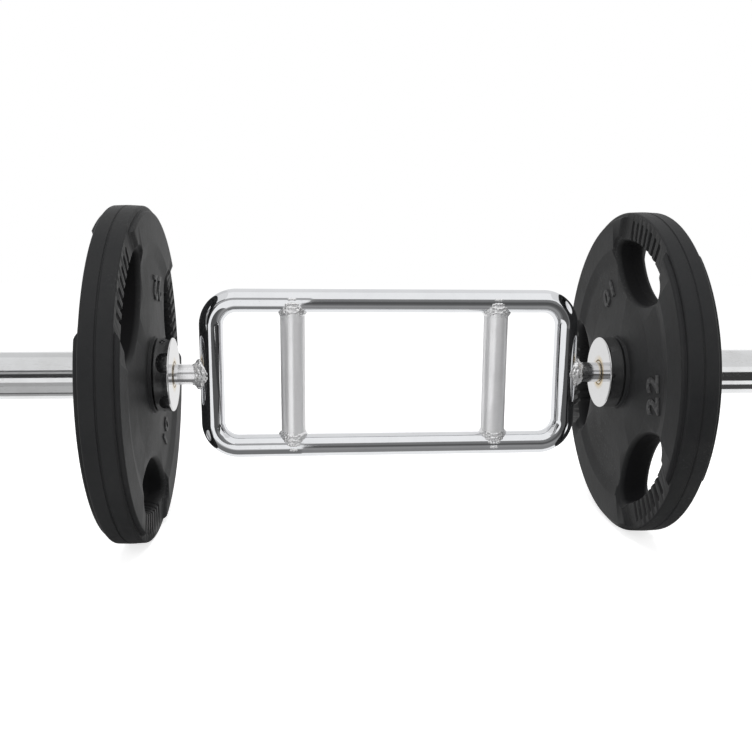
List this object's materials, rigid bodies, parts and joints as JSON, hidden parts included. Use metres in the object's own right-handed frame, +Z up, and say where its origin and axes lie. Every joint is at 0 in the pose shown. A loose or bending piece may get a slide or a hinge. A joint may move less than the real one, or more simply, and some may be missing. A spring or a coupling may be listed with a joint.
{
  "type": "triceps bar",
  "caption": "Short barbell with a rounded rectangular frame, knurled upright cross handles and turning sleeves, loaded with rubber-jacketed grip plates.",
  "frame": {"origin": "on the ground under the middle of the bar, where the plates stand", "axes": "+X along the bar towards its right sleeve, +Y away from the side the picture shows, +Z up; the frame stands in the XZ plane"},
  "size_m": [0.864, 0.3512, 0.3512],
  "materials": {
    "chrome": "mirror-bright chrome plate",
    "knurled_chrome": "chrome plate over fine knurling",
    "weld_bead": "chrome plate over a rippled weld",
    "bare_steel": "turned steel",
    "bronze": "oiled sintered bronze",
    "cast_iron": "raw casting, inside the rubber",
    "rubber": "satin moulded rubber"
  },
  "bodies": {
    "frame": {"frame_loop": "chrome", "handle_left": "knurled_chrome", "handle_right": "knurled_chrome", "weld_handle_left_top": "weld_bead", "weld_handle_left_bottom": "weld_bead", "weld_handle_right_top": "weld_bead", "weld_handle_right_bottom": "weld_bead", "shaft_left": "chrome", "shaft_right": "chrome", "weld_shaft_left": "weld_bead", "weld_shaft_right": "weld_bead", "end_washer_left": "bare_steel", "end_washer_right": "bare_steel", "end_bolt_left": "bare_steel", "end_bolt_right": "bare_steel"},
    "left_sleeve": {"collar_left": "chrome", "sleeve_tube_left": "chrome", "end_plug_left": "chrome", "inner_bushing_left": "bronze", "outer_bushing_left": "bronze"},
    "right_sleeve": {"collar_right": "chrome", "sleeve_tube_right": "chrome", "end_plug_right": "chrome", "inner_bushing_right": "bronze", "outer_bushing_right": "bronze"},
    "left_plate": {"plate_rubber_left": "rubber", "plate_core_left": "cast_iron", "plate_hub_ring_left": "bare_steel"},
    "right_plate": {"plate_rubber_right": "rubber", "plate_core_right": "cast_iron", "plate_hub_ring_right": "bare_steel"}
  },
  "joints": [
    {"name": "left_sleeve_spin", "type": "hinge", "parent": "frame", "child": "left_sleeve", "pos_m": [-0.232, 0, 0.17562], "axis": [1, 0, 0], "continuous": true},
    {"name": "right_sleeve_spin", "type": "hinge", "parent": "frame", "child": "right_sleeve", "pos_m": [0.232, 0, 0.17562], "axis": [1, 0, 0], "continuous": true},
    {"name": "left_plate_slide", "type": "slide", "parent": "left_sleeve", "child": "left_plate", "axis": [-1, 0, 0], "range_m": [0, 0.19]},
    {"name": "right_plate_slide", "type": "slide", "parent": "right_sleeve", "child": "right_plate", "axis": [1, 0, 0], "range_m": [0, 0.19]}
  ]
}
